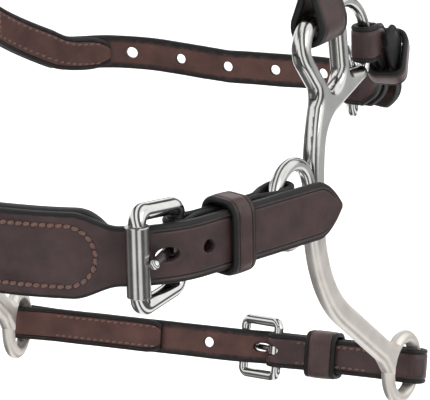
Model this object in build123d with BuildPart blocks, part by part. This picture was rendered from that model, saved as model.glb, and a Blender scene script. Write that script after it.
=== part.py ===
from build123d import *
import os
from math import cos, radians, sin

# A bitless hackamore: two cast levers joined by a padded noseband, a curb strap and a lower strap.
# Frame: origin midway between the centres of the noseband rings, +X to the horse's left,
# +Y towards the rear (the chin), +Z up. Millimetres.

# ---- levers ----
half_width = 66.0            # ring centre to the middle plane
flare = 8.0                  # each lever's plane turns outwards towards the rear, degrees
plate = 6.4                  # thickness of the cast body
edge_round = 2.9
stem_width = 8.4
ring_radius, ring_bar = 13.4, 2.35            # noseband ring: middle radius, bar radius
rein_u, rein_v = 85.6, -85.3                  # rein ring centre, rearwards and up in the lever's plane
rein_radius, rein_bar = 11.2, 2.5
stem_u = 16.3                                 # the stem passes behind the noseband ring
sweep_radius, sweep_turn = 52.0, 54.0         # bend of the lower shank
loop_corners = ((15.8, 50.2, 4.0), (27.6, 50.2, 4.0), (28.2, 38.4, 5.2))
loop_wall = 6.2
lever_blends = (
    (17.8, 32.8, 6.0),
    (39.4, 36.4, 2.5),
    (23.3, 22.9, 12.0),
    (68.2, -77.7, 10.0),
    (74.7, -72.1, 10.0),
)
curb_u, curb_v, curb_radius, curb_bar = 38.0, 42.0, 18.5, 1.9

# ---- noseband ----
strap_angle = 25.0           # the billet's straight runs this far inwards of straight ahead
billet_width, billet_thick = 19.4, 3.0
billet_out = 13.1            # billet's outer face from the ring centre
straight_end = 50.0          # where the billet leaves its straight, measured from the ring
nose_corner_radius, front_half_angle = 36.0, 19.5
tip_back, tip_long = 11.0, 10.0               # how far the tip lies behind the ring centre, and its taper
pad_width, pad_half, taper_long = 28.0, 20.0, 15.0
padding_thick, lining_thick, seam_margin = 2.8, 2.0, 3.2
hole_pitch, hole_radius = 15.0, 2.3

# ---- noseband chape, buckle and keeper ----
chape_width, layer = 19.0, 2.2                # a chape is two layers of leather
eye_clear = 0.75
heel_s, front_angle = 55.5, 39.0              # heel bar along the billet; front bar round the nose corner
wire, bar_wire = 2.8, 2.2
frame_front_half, frame_heel_half = 15.7, 13.2
roller_radius, roller_length = 3.9, 23.0
tongue_wire = 1.6
keeper_s, keeper_long, keeper_thick = 31.0, 9.6, 2.2

# ---- narrow straps ----
strap_width, strap_thick, thin_layer = 12.7, 2.2, 2.0
small_wire, small_bar, small_tongue = 1.8, 1.7, 1.1
small_half = 10.2                             # buckle's side wires from its middle
small_keeper_long, small_keeper_thick = 9.0, 1.8
curb_heading, curb_lead, curb_corner, curb_turn = 10.0, 6.0, 30.0, 55.0
curb_straight, curb_back_radius = 16.8, 40.0
curb_line, lower_line = 5.3, 5.3              # billet's middle outside the chape's middle
curb_slope_from, curb_slope_to = 61.0, 96.0   # rearwards, where the curb strap drops
curb_high_z, curb_low_z = 42.9, 15.5          # height of the curb strap's middle, at the levers and at the rear
curb_far_rise = 0.09                          # the far half climbs this much per mm towards its lever
curb_hole_turn = 10.5                         # tongue hole, round the strap's rear corner
lower_tilt = 15.0                             # the lower strap hangs this far below the rein rings
lower_heel_x, lower_bend = 26.0, 22.0
lower_tail_end, lower_tip_x = -21.0, 61.0
lower_keeper_x, lower_keeper_long = 44.0, 12.0
lower_hole_turn = 14.8
small_pitch, small_hole, small_tip_long = 19.05, 1.9, 7.0

# ---- cheekpieces ----
cheek_width, cheek_layer = 18.0, 2.4
cheek_height = 48.0          # loop's top bar to the cheek buckle's heel bar
cheek_reach, cheek_keeper_drop = 17.0, 17.0

gap = 0.3                    # between pieces that only touch
running = 0.07               # radial clearance of a turning fit
os.makedirs("parts", exist_ok=True)

# ---- places worked out from the above ----
up = Vector(0, 0, 1)
rearward = Vector(sin(radians(flare)), cos(radians(flare)), 0)
outward = Vector(rearward.Y, -rearward.X, 0)
along = Vector(-sin(radians(strap_angle)), -cos(radians(strap_angle)), 0)
beside = Vector(-along.Y, along.X, 0)
lever = Plane(origin=(half_width, 0, 0), x_dir=rearward, z_dir=outward)


def lever_point(u, v=0.0):
    """A point of the left lever's middle plane: u rearwards, v up from the noseband ring."""
    return Vector(half_width, 0, 0) + rearward * u + up * v


def side_point(s, q, z=0.0):
    """A point beside the left noseband ring: s forwards along the billet, q outwards."""
    return Vector(half_width, 0, 0) + along * s + beside * q + up * z


def hull(*circles):
    """The convex outline round circles, each (x, y, radius)."""
    with BuildSketch(mode=Mode.PRIVATE) as outline:
        for x, y, r in circles:
            with Locations((x, y)):
                Circle(r)
        make_hull()
    return outline.sketch


def point_cut(half, long):
    """The corners cut from a strap's end, at the origin, to leave a blunt point."""
    with BuildSketch(mode=Mode.PRIVATE) as cut:
        with BuildLine():
            Polyline((-2, 0), (0, half * 0.2), (long, half), (long, half * 2), (-2, half * 2), (-2, 0))
        make_face()
        mirror(about=Plane.XZ)
    return cut.sketch


def mirrored(part):
    """The same piece on the horse's right."""
    with BuildPart() as other:
        mirror(part, about=Plane.YZ)
    return other.part


def save(part, name):
    part.label = name
    export_step(part, f"parts/{name}.step")


def save_pair(part, name):
    save(mirrored(part), f"right_{name}")
    save(part, f"left_{name}")


def buckle_frame(place, reach, front_half, heel_half, front_gap, heel_gap, side_wire, bar):
    """A wire frame: heel bar through the plane's origin, front bar at x = reach, sides at y = +-half."""
    with BuildPart() as frame:
        with BuildLine(place) as rim:
            corners = ((reach, front_gap), (reach, front_half), (0, heel_half), (0, heel_gap))
            FilletPolyline(*corners, radius=side_wire + 0.4)
        path = rim.wires()[0]
        with BuildSketch(Plane(path @ 0, z_dir=path % 0)):
            Circle(side_wire)
        sweep(path=path)
        mirror(about=Plane(place.origin, z_dir=place.y_dir))
        with BuildSketch(Plane(place.origin, x_dir=place.x_dir, z_dir=place.y_dir)):
            Circle(bar)
        extrude(amount=heel_gap + 0.2, both=True)
        far_bar = place.from_local_coords(Vector(reach, 0, 0))
        with BuildSketch(Plane(far_bar, x_dir=place.x_dir, z_dir=place.y_dir)):
            Circle(bar)
        extrude(amount=front_gap + 0.2, both=True)
    return frame.part


def tongue_pin(place, reach, bar, pin, rest_radius):
    """A pin looped round the heel bar, its tip lying on the front bar or roller."""
    loop = bar + running + 1.5 * pin
    lift = (rest_radius + pin + 0.25) * 1.06
    start = place.from_local_coords(Vector(bar + pin + 0.35, 0, 0.4))
    tip = place.from_local_coords(Vector(reach - 0.4, 0, lift))
    with BuildPart() as part:
        with BuildSketch(Plane(place.origin, x_dir=place.x_dir, z_dir=place.y_dir)):
            Circle(loop)
        extrude(amount=pin * 1.35, both=True)
        with BuildSketch(Plane(start, z_dir=tip - start)):
            Circle(pin)
        extrude(amount=(tip - start).length)
        with Locations(tip):
            Sphere(pin)
        with BuildSketch(Plane(place.origin, x_dir=place.x_dir, z_dir=place.y_dir)):
            Circle(bar + running)
        extrude(amount=pin * 3, both=True, mode=Mode.SUBTRACT)
    return part.part


def strap_loop(place, low, high, half, long, thick):
    """A keeper: a rounded band, x from low to high and y within half, running along the plane's z."""
    with BuildPart() as band:
        with BuildSketch(place):
            with Locations(((low + high) / 2, 0)):
                RectangleRounded(high - low + 2 * thick, 2 * (half + thick), thick * 1.2)
                RectangleRounded(high - low, 2 * half, 0.6, mode=Mode.SUBTRACT)
        extrude(amount=long)
        fillet(band.faces().sort_by(Axis(place.origin, place.z_dir))[0].outer_wire().edges(), 0.5)
        fillet(band.faces().sort_by(Axis(place.origin, place.z_dir))[-1].outer_wire().edges(), 0.5)
    return band.part


# ======== lever ========
with BuildPart() as shank:
    with BuildSketch(lever) as shank_face:
        with BuildLine():
            down = Line((stem_u, 4), (stem_u, -8))
            bend = JernArc(start=down @ 1, tangent=(0, -1), radius=sweep_radius, arc_size=sweep_turn)
            Line(bend @ 1, (rein_u - 0.5, rein_v + 0.3))
        trace(line_width=stem_width)
        with BuildLine():
            lean = JernArc(start=(stem_u, 4), tangent=(0, 1), radius=70, arc_size=-20)
            Line(lean @ 1, lean @ 1 + (lean % 1) * 4)
        trace(line_width=stem_width)
        add(hull(*[(x, y, r + loop_wall) for x, y, r in loop_corners]))
        add(hull((21.0, 27.0, 4.6), (31.0, 32.0, 5.0), (curb_u + 15.3, 33.4, 1.9)))
        add(hull((72.5, -76.2, 4.6), (rein_u - 3, rein_v + 2, 8.0)))
        for u, v, r in lever_blends:
            fillet(shank_face.vertices().sort_by_distance((u, v, 0))[0], r)
        add(hull(*loop_corners), mode=Mode.SUBTRACT)
        with Locations((rein_u, rein_v)):
            Circle(rein_radius - 1.3, mode=Mode.SUBTRACT)
    extrude(amount=plate / 2, both=True)
    rims = shank.faces().filter_by(lambda f: abs(f.normal_at().dot(outward)) > 0.99).edges()
    fillet(rims, edge_round)
    with BuildSketch(Plane(lever_point(ring_radius), x_dir=rearward, z_dir=(0, 0, 1))):
        Circle(ring_bar)
    revolve(axis=Axis((half_width, 0, 0), outward))
    with BuildSketch(Plane(lever_point(rein_u + rein_radius, rein_v), x_dir=rearward, z_dir=(0, 0, 1))):
        Circle(rein_bar)
    revolve(axis=Axis(lever_point(rein_u, rein_v), outward))
    with BuildLine(lever) as curb_path:
        CenterArc((curb_u, curb_v), curb_radius, -27, 128)
    with BuildSketch(Plane(curb_path.wires()[0] @ 0, z_dir=curb_path.wires()[0] % 0)):
        Circle(curb_bar)
    sweep(path=curb_path.wires()[0])
save_pair(shank.part, "shank")

# ======== noseband ========
straight_out = side_point(straight_end, billet_out)
turn = 90 - strap_angle - front_half_angle
corner_x = straight_out.X - nose_corner_radius * (cos(radians(strap_angle)) - sin(radians(front_half_angle)))
nose_front_radius = corner_x / sin(radians(front_half_angle))


def nose_face(depth, thick):
    """The left half of a layer of the noseband in plan, its outer side depth inside the front face."""
    middle = depth + thick / 2
    with BuildSketch(mode=Mode.PRIVATE) as face:
        with BuildLine():
            inset = billet_out - middle
            run = Line(side_point(-tip_back, inset), side_point(straight_end, inset))
            corner = JernArc(start=run @ 1, tangent=run % 1, radius=nose_corner_radius - middle, arc_size=-turn)
            JernArc(
                start=corner @ 1,
                tangent=corner % 1,
                radius=nose_front_radius - middle,
                arc_size=-front_half_angle,
            )
        trace(line_width=thick)
    return face.sketch


def pad_outline(inset, end_x, end_radius):
    """The wide middle seen from the front, its left half, tapering to the billet's width."""
    top, low = pad_width / 2 - inset, billet_width / 2 - inset
    with BuildSketch(mode=Mode.PRIVATE) as outline:
        with BuildLine():
            Polyline((0, top), (pad_half, top), (pad_half + taper_long, low), (half_width * 2, low))
            Polyline((0, -top), (pad_half, -top), (pad_half + taper_long, -low), (half_width * 2, -low))
            Line((0, top), (0, -top))
            Line((half_width * 2, low), (half_width * 2, -low))
        make_face()
        RectangleRounded(2 * (end_x - inset), pad_width + 2, end_radius, mode=Mode.INTERSECT)
    return outline.sketch


def corner_frame(angle, radius):
    """A plane on the billet where it has turned by angle: x along it, z outwards."""
    a = radians(angle)
    centre = side_point(straight_end, billet_out - nose_corner_radius)
    normal = along * sin(a) + beside * cos(a)
    return Plane(centre + normal * radius, x_dir=along * cos(a) - beside * sin(a), z_dir=normal)


with BuildPart() as noseband_front:
    add(nose_face(0, billet_thick))
    extrude(amount=pad_width / 2, both=True)
    with BuildSketch(Plane.XZ):
        add(pad_outline(0, half_width * 2, 1.0))
    extrude(amount=half_width * 2, both=True, mode=Mode.INTERSECT)
    with BuildSketch(Plane(side_point(-tip_back, billet_out + 1), x_dir=along, z_dir=beside)):
        add(point_cut(billet_width / 2, tip_long))
    extrude(amount=-billet_thick - 2, mode=Mode.SUBTRACT)
    with BuildSketch(corner_frame(23.5, nose_corner_radius)):
        SlotOverall(8.6, 2 * tongue_wire + 1.2)
    extrude(amount=-billet_thick - 1, both=True, mode=Mode.SUBTRACT)
    hole_s = [straight_end - 0.5 - k * hole_pitch for k in range(2)]
    for s in hole_s:
        with BuildSketch(Plane(side_point(s, billet_out), x_dir=along, z_dir=beside)):
            Circle(hole_radius)
        extrude(amount=billet_thick + 1, both=True, mode=Mode.SUBTRACT)
    mirror(about=Plane.YZ)
save(noseband_front.part, "noseband_front")

lining_end, lining_round = pad_half + taper_long - 3, 10.0
with BuildPart() as pocket:
    add(nose_face(billet_thick, padding_thick + 0.05))
    extrude(amount=pad_width / 2, both=True)
    with BuildSketch(Plane.XZ):
        add(pad_outline(seam_margin, lining_end, lining_round - seam_margin))
    extrude(amount=half_width * 2, both=True, mode=Mode.INTERSECT)

with BuildPart() as noseband_lining:
    add(nose_face(billet_thick + 0.05, padding_thick + lining_thick))
    extrude(amount=pad_width / 2, both=True)
    with BuildSketch(Plane.XZ):
        add(pad_outline(0, lining_end, lining_round))
    extrude(amount=half_width * 2, both=True, mode=Mode.INTERSECT)
    add(pocket.part, mode=Mode.SUBTRACT)
    mirror(about=Plane.YZ)
save(noseband_lining.part, "noseband_lining")

with BuildPart() as noseband_padding:
    add(nose_face(billet_thick + 0.05, padding_thick - 0.05))
    extrude(amount=pad_width / 2, both=True)
    with BuildSketch(Plane.XZ):
        add(pad_outline(seam_margin + 0.1, lining_end, lining_round - seam_margin))
    extrude(amount=half_width * 2, both=True, mode=Mode.INTERSECT)
    mirror(about=Plane.YZ)
save(noseband_padding.part, "noseband_padding")

# ======== noseband chape, buckle and keeper ========
heel_eye = bar_wire + gap
heel_q = billet_out - nose_corner_radius
heel_q += ((nose_corner_radius - billet_thick) ** 2 - (heel_s - straight_end) ** 2) ** 0.5
heel_q -= heel_eye + layer + gap
heel = side_point(heel_s, heel_q)
front = corner_frame(front_angle, nose_corner_radius + gap + roller_radius).origin
buckle = Plane(heel, x_dir=front - heel, z_dir=up.cross(front - heel))
reach = (front - heel).length

ring_eye = ring_bar + eye_clear
ring_far, ring_near = lever_point(-ring_radius), lever_point(-ring_radius + 5.1)
merge_ring, merge_heel = side_point(20.5, heel_q), side_point(heel_s - 7, heel_q)
with BuildPart() as noseband_chape:
    with BuildSketch():
        wall = ring_eye + layer
        ring_turns = ((ring_far.X, ring_far.Y), (ring_near.X, ring_near.Y))
        add(hull(*[(x, y, wall) for x, y in ring_turns], (merge_ring.X, merge_ring.Y, layer)))
        add(hull((merge_ring.X, merge_ring.Y, layer), (merge_heel.X, merge_heel.Y, layer)))
        add(hull((heel.X, heel.Y, heel_eye + layer), (merge_heel.X, merge_heel.Y, layer)))
        close = side_point(18.5, heel_q)
        eye = hull(*[(x, y, ring_eye) for x, y in ring_turns], (close.X, close.Y, 0.2))
        add(eye, mode=Mode.SUBTRACT)
        close = side_point(heel_s - 5.5, heel_q)
        add(hull((heel.X, heel.Y, heel_eye), (close.X, close.Y, 0.2)), mode=Mode.SUBTRACT)
    extrude(amount=chape_width / 2, both=True)
    with BuildSketch(Plane(side_point(heel_s, -8), x_dir=along, z_dir=beside)):
        Rectangle(2 * (heel_eye + layer + 1), 2 * tongue_wire * 1.35 + 0.8)
    extrude(amount=30, mode=Mode.SUBTRACT)
save_pair(noseband_chape.part, "noseband_chape")

frame_part = buckle_frame(
    buckle,
    reach,
    frame_front_half,
    frame_heel_half,
    roller_length / 2 + gap,
    chape_width / 2 + 0.4,
    wire,
    bar_wire,
)
save_pair(frame_part, "noseband_buckle_frame")

with BuildPart() as roller:
    with BuildSketch(Plane(front, x_dir=buckle.x_dir, z_dir=up)):
        Circle(roller_radius)
        Circle(bar_wire + running, mode=Mode.SUBTRACT)
    extrude(amount=roller_length / 2, both=True)
    chamfer(roller.edges().filter_by(GeomType.CIRCLE).group_by(SortBy.RADIUS)[-1], 0.3)
save_pair(roller.part, "noseband_roller")
save_pair(tongue_pin(buckle, reach, bar_wire, tongue_wire, roller_radius), "noseband_tongue")

keeper_place = Plane(side_point(keeper_s, 0), x_dir=beside, z_dir=along)
keeper = strap_loop(
    keeper_place, heel_q - layer - gap, billet_out + gap, billet_width / 2 + gap, keeper_long, keeper_thick
)
save_pair(keeper, "noseband_keeper")

# ======== cheekpieces ========
loop_u = (loop_corners[0][0] + loop_corners[1][0]) / 2
loop_v = loop_corners[0][1] + loop_corners[0][2] + loop_wall / 2
cheek = Plane(origin=lever_point(loop_u), x_dir=outward, z_dir=-rearward)
cheek_eye, cheek_heel_v = 3.9, loop_v + cheek_height
with BuildPart() as cheekpiece:
    with BuildSketch(cheek):
        wall = cheek_eye + cheek_layer
        add(hull((0, loop_v, wall), (0, loop_v - 1.2, wall), (0, loop_v + 12, cheek_layer)))
        add(hull((0, loop_v + 12, cheek_layer), (0, cheek_heel_v - 8, cheek_layer)))
        add(hull((0, cheek_heel_v, small_bar + gap + cheek_layer), (0, cheek_heel_v - 8, cheek_layer)))
        add(hull((0, loop_v, cheek_eye), (0, loop_v - 1.2, cheek_eye), (0, loop_v + 9, 0.2)), mode=Mode.SUBTRACT)
        add(hull((0, cheek_heel_v, small_bar + gap), (0, cheek_heel_v - 6, 0.2)), mode=Mode.SUBTRACT)
    extrude(amount=cheek_width / 2, both=True)
    with BuildSketch(Plane(lever_point(loop_u, cheek_heel_v), x_dir=rearward, z_dir=outward)):
        Rectangle(2 * small_tongue * 1.35 + 0.8, 2 * (small_bar + gap + cheek_layer + 1))
    extrude(amount=10, both=True, mode=Mode.SUBTRACT)
save_pair(cheekpiece.part, "cheekpiece")

cheek_buckle = Plane(lever_point(loop_u, cheek_heel_v), x_dir=up, z_dir=outward)
cheek_half = cheek_width / 2 + 0.4 + small_wire + 1.6
frame_part = buckle_frame(
    cheek_buckle,
    cheek_reach,
    cheek_half,
    cheek_half,
    cheek_half - 4,
    cheek_width / 2 + 0.4,
    small_wire,
    small_bar,
)
save_pair(frame_part, "cheek_buckle_frame")
save_pair(tongue_pin(cheek_buckle, cheek_reach, small_bar, small_tongue, small_bar), "cheek_tongue")
keeper_place = Plane(lever_point(loop_u, cheek_heel_v - cheek_keeper_drop), x_dir=outward, z_dir=up)
keeper = strap_loop(
    keeper_place, -cheek_layer - gap, cheek_layer + 3.4, cheek_width / 2 + gap, 8.0, small_keeper_thick
)
save_pair(keeper, "cheek_keeper")

# ======== curb strap ========
curb_bar_at = lever_point(curb_u + curb_radius, curb_v)
lead = Vector(sin(radians(curb_heading)), cos(radians(curb_heading)), 0)
lead_out = Vector(lead.Y, -lead.X, 0)


def curb_band(offset, thick, straight, last_turn):
    """One layer of the left half of the curb strap in plan, offset outwards of the chape's middle."""
    with BuildSketch(mode=Mode.PRIVATE) as band:
        with BuildLine():
            start = curb_bar_at + lead_out * offset
            ahead = Line(start + lead * 4, start + lead * curb_lead)
            corner = JernArc(start=ahead @ 1, tangent=lead, radius=curb_corner + offset, arc_size=curb_turn)
            run = Line(corner @ 1, corner @ 1 + (corner % 1) * straight)
            if last_turn:
                JernArc(start=run @ 1, tangent=run % 1, radius=curb_back_radius, arc_size=last_turn)
        trace(line_width=thick)
    return band.sketch


def curb_station(turn, offset):
    """A plane on the curb strap's first corner: x outwards, z along the sloping strap."""
    a = radians(turn - curb_heading)
    out = Vector(cos(a), sin(a), 0)
    steep = (curb_high_z - curb_low_z) / (curb_slope_to - curb_slope_from)
    at = curb_bar_at + lead * curb_lead - lead_out * curb_corner + out * (curb_corner + offset)
    height = curb_high_z - (at.Y - curb_slope_from) * steep
    return Plane((at.X, at.Y, height), x_dir=out, z_dir=(-sin(a), cos(a), -steep * cos(a)))


curb_turned = Vector(-sin(radians(curb_turn - curb_heading)), cos(radians(curb_turn - curb_heading)), 0)
curb_turned_out = Vector(curb_turned.Y, -curb_turned.X, 0)
curb_heel = curb_bar_at + lead * curb_lead - lead_out * curb_corner + curb_turned_out * curb_corner
curb_heel += curb_turned * curb_straight
small_eye = small_bar + gap


def curb_profile(high_z):
    """The curb strap seen from the side, dropping from high_z at the lever to the rear."""
    with BuildSketch(mode=Mode.PRIVATE) as side:
        with BuildLine():
            FilletPolyline(
                (40, high_z),
                (curb_slope_from, high_z),
                (curb_slope_to, curb_low_z),
                (140, curb_low_z),
                radius=14,
            )
        trace(line_width=strap_width)
    return side.sketch


with BuildPart() as curb_chape:
    with BuildSketch():
        add(curb_band(0, 2 * thin_layer, curb_straight - 6.5, 0))
        merged, closed = curb_heel - curb_turned * 8.5, curb_heel - curb_turned * 6
        add(hull((curb_heel.X, curb_heel.Y, small_eye + thin_layer), (merged.X, merged.Y, thin_layer)))
        add(hull((curb_heel.X, curb_heel.Y, small_eye), (closed.X, closed.Y, 0.2)), mode=Mode.SUBTRACT)
        near_bar, merged = curb_bar_at - lead * 1.3, curb_bar_at + lead * 9.5
        closed = curb_bar_at + lead * 7.5
        curb_eye = curb_bar + 0.6
        leather = ((curb_bar_at.X, curb_bar_at.Y), (near_bar.X, near_bar.Y))
        add(hull(*[(x, y, curb_eye + thin_layer) for x, y in leather], (merged.X, merged.Y, thin_layer)))
        add(hull(*[(x, y, curb_eye) for x, y in leather], (closed.X, closed.Y, 0.2)), mode=Mode.SUBTRACT)
    extrude(amount=80)
    with BuildSketch(Plane.YZ):
        add(curb_profile(curb_high_z))
    extrude(amount=half_width * 2, mode=Mode.INTERSECT)
    with BuildSketch(Plane((curb_heel.X, curb_heel.Y, curb_low_z), x_dir=curb_turned, z_dir=curb_turned_out)):
        Rectangle(2 * (small_eye + thin_layer + 0.5), 2 * small_tongue * 1.35 + 0.8)
    extrude(amount=10, both=True, mode=Mode.SUBTRACT)
save(curb_chape.part, "curb_chape")

main, tail = strap_thick / 2, -thin_layer / 2
back_turn = 90 - curb_turn + curb_heading
curb_back = curb_heel + curb_turned_out * (curb_line - curb_back_radius)
far_x = -curb_back.X + (curb_line - main) * (curb_turned_out.X - curb_turned.X)
with BuildPart() as curb_course:
    with BuildSketch(Plane.YZ):
        add(curb_profile(curb_high_z))
    extrude(amount=half_width * 2)
    with BuildSketch(Plane.YZ):
        add(curb_profile(curb_high_z - curb_far_rise * curb_bar_at.X))
    extrude(amount=half_width * 2, dir=(-1, 0, curb_far_rise))

with BuildPart() as curb_billet:
    with BuildSketch():
        add(curb_band(main, strap_thick, curb_straight + curb_line - main, back_turn))
        add(curb_band(tail, thin_layer + 0.1, curb_straight + curb_line - main, 12))
        add(hull(*[(x, y, curb_eye + thin_layer) for x, y in leather], (merged.X, merged.Y, thin_layer)))
        add(hull(*[(x, y, curb_eye) for x, y in leather], (closed.X, closed.Y, 0.2)), mode=Mode.SUBTRACT)
        mirror(about=Plane.YZ, mode=Mode.REPLACE)
        add(curb_band(curb_line, strap_thick, curb_straight, back_turn))
        with BuildLine():
            Line((far_x, curb_back.Y + curb_back_radius), (curb_back.X, curb_back.Y + curb_back_radius))
        trace(line_width=strap_thick)
    extrude(amount=80)
    add(curb_course.part, mode=Mode.INTERSECT)
    tip = curb_bar_at + lead * 4 + lead_out * curb_line
    with BuildSketch(Plane((tip.X, tip.Y, curb_high_z - 0.4), x_dir=(lead.X, lead.Y, -0.2), z_dir=lead_out)):
        add(point_cut(strap_width / 2, small_tip_long))
    extrude(amount=2, both=True, mode=Mode.SUBTRACT)
    a = radians(90 - back_turn + curb_hole_turn)
    out = Vector(cos(a), sin(a), 0)
    hole = curb_back + out * curb_back_radius
    with BuildSketch(Plane((hole.X, hole.Y, curb_low_z), x_dir=(-out.Y, out.X, 0), z_dir=out)):
        SlotOverall(6.2, 2 * small_tongue + 1)
    extrude(amount=2, both=True, mode=Mode.SUBTRACT)
    rear_y = curb_back.Y + curb_back_radius
    with BuildSketch(Plane((0, rear_y, curb_low_z), x_dir=(-1, 0, 0), z_dir=(0, 1, 0))):
        hole_x = [k * small_pitch for k in (-2, -1, 0, 1, 2)]
        with Locations(*[(x, max(0, x) * curb_far_rise) for x in hole_x]):
            Circle(small_hole)
    extrude(amount=2, both=True, mode=Mode.SUBTRACT)
save(curb_billet.part, "curb_billet")

curb_buckle_front = curb_heel + curb_turned * 14.7 + curb_turned_out * 5.8
curb_place = Plane(
    (curb_heel.X, curb_heel.Y, curb_low_z),
    x_dir=curb_buckle_front - curb_heel,
    z_dir=(curb_buckle_front - curb_heel).cross(up),
)
small_reach = (curb_buckle_front - curb_heel).length
small_heel_gap = strap_width / 2 + 0.4
frame_part = buckle_frame(
    curb_place, small_reach, small_half, small_half, small_heel_gap, small_heel_gap, small_wire, small_bar
)
save(frame_part, "curb_buckle_frame")
save(tongue_pin(curb_place, small_reach, small_bar, small_tongue, small_bar), "curb_tongue")
keeper = curb_station(19.0, 0)
keeper_at = keeper.origin - keeper.z_dir * small_keeper_long / 2
keeper_place = Plane(keeper_at, x_dir=keeper.x_dir, z_dir=keeper.z_dir)
keeper_part = strap_loop(keeper_place, -3.4, 6.9, strap_width / 2 + 0.8, small_keeper_long, small_keeper_thick)
save(keeper_part, "curb_keeper")

# ======== lower strap ========
rein_ring = lever_point(rein_u, rein_v)
tilt = radians(lower_tilt)
lower = Plane(origin=(0, rein_ring.Y, rein_ring.Z), x_dir=(1, 0, 0), z_dir=(0, sin(tilt), cos(tilt)))
rear_bar = lower.to_local_coords(lever_point(rein_u + rein_radius * cos(tilt), rein_v - rein_radius * sin(tilt)))
lower_mid = rear_bar.Y - 1.2
rein_eye = rein_bar + 0.4
merged_x, heel_x = rear_bar.X - 13, lower_heel_x
lower_heel = lower.from_local_coords(Vector(heel_x, lower_mid, 0))
ring_turns = ((rear_bar.X, rear_bar.Y), (rear_bar.X, rear_bar.Y - 2.5))
ring_leather = hull(*[(x, y, rein_eye + thin_layer) for x, y in ring_turns], (merged_x, lower_mid, thin_layer))
ring_opening = hull(*[(x, y, rein_eye) for x, y in ring_turns], (merged_x + 2, lower_mid, 0.2))
with BuildPart() as lower_chape:
    with BuildSketch(lower):
        add(ring_leather)
        add(hull((merged_x, lower_mid, thin_layer), (heel_x + 8.5, lower_mid, thin_layer)))
        add(hull((heel_x, lower_mid, small_eye + thin_layer), (heel_x + 8.5, lower_mid, thin_layer)))
        add(ring_opening, mode=Mode.SUBTRACT)
        add(hull((heel_x, lower_mid, small_eye), (heel_x + 6, lower_mid, 0.2)), mode=Mode.SUBTRACT)
    extrude(amount=strap_width / 2, both=True)
    with BuildSketch(Plane(lower_heel, x_dir=(1, 0, 0), z_dir=lower.y_dir)):
        Rectangle(2 * (small_eye + thin_layer + 0.5), 2 * small_tongue * 1.35 + 0.8)
    extrude(amount=10, both=True, mode=Mode.SUBTRACT)
save(lower_chape.part, "lower_chape")

step_radius = (lower_line - main) / 2 / (1 - cos(radians(lower_bend)))
step_end = heel_x - 2 * step_radius * sin(radians(lower_bend))
with BuildPart() as lower_billet:
    with BuildSketch(lower):
        add(ring_leather)
        add(ring_opening, mode=Mode.SUBTRACT)
        mirror(about=Plane.YZ, mode=Mode.REPLACE)
        with Locations(((lower_tail_end - merged_x) / 2, lower_mid + tail + 0.05)):
            Rectangle(merged_x + lower_tail_end, thin_layer + 0.1)
        with Locations(((step_end - merged_x) / 2, lower_mid + main)):
            Rectangle(merged_x + step_end, strap_thick)
        with Locations(((lower_tip_x + heel_x) / 2, lower_mid + lower_line)):
            Rectangle(lower_tip_x - heel_x, strap_thick)
        with BuildLine():
            first = JernArc(
                start=(heel_x, lower_mid + lower_line), tangent=(-1, 0), radius=step_radius, arc_size=lower_bend
            )
            JernArc(start=first @ 1, tangent=first % 1, radius=step_radius, arc_size=-lower_bend)
        trace(line_width=strap_thick)
    extrude(amount=strap_width / 2, both=True)
    tip = lower.from_local_coords(Vector(lower_tip_x, lower_mid + lower_line, 0))
    with BuildSketch(Plane(tip, x_dir=(-1, 0, 0), z_dir=lower.y_dir)):
        add(point_cut(strap_width / 2, small_tip_long))
    extrude(amount=2, both=True, mode=Mode.SUBTRACT)
    a = radians(lower_hole_turn)
    hole_x = heel_x - step_radius * sin(a)
    hole_y = lower_mid + lower_line - step_radius * (1 - cos(a))
    hole = lower.from_local_coords(Vector(hole_x, hole_y, 0))
    normal = lower.y_dir * cos(a) - lower.x_dir * sin(a)
    with BuildSketch(Plane(hole, x_dir=normal.cross(lower.z_dir), z_dir=normal)):
        SlotOverall(6.2, 2 * small_tongue + 1)
    extrude(amount=2.2, both=True, mode=Mode.SUBTRACT)
    hole = lower.from_local_coords(Vector(-2, lower_mid, 0))
    with BuildSketch(Plane(hole, x_dir=(1, 0, 0), z_dir=lower.y_dir)):
        Circle(small_hole)
    extrude(amount=4, both=True, mode=Mode.SUBTRACT)
save(lower_billet.part, "lower_billet")

lower_front = lower.from_local_coords(Vector(heel_x - 15, lower_mid + 5.3, 0))
lower_ahead = lower_front - lower_heel
lower_place = Plane(lower_heel, x_dir=lower_ahead, z_dir=lower_ahead.cross(lower.z_dir))
lower_reach = lower_ahead.length
frame_part = buckle_frame(
    lower_place, lower_reach, small_half, small_half, small_heel_gap, small_heel_gap, small_wire, small_bar
)
save(frame_part, "lower_buckle_frame")
save(tongue_pin(lower_place, lower_reach, small_bar, small_tongue, small_bar), "lower_tongue")
keeper_at = lower.from_local_coords(Vector(lower_keeper_x - lower_keeper_long / 2, 0, 0))
keeper_part = strap_loop(
    Plane(keeper_at, x_dir=lower.y_dir, z_dir=lower.x_dir),
    lower_mid - thin_layer - gap,
    lower_mid + lower_line + main + gap,
    strap_width / 2 + gap,
    lower_keeper_long,
    small_keeper_thick,
)
save(keeper_part, "lower_keeper")
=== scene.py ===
import bpy
import bmesh
from math import atan2, ceil, cos, exp, pi, radians, sin, sqrt, tan
from mathutils import Matrix, Vector, noise


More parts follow.
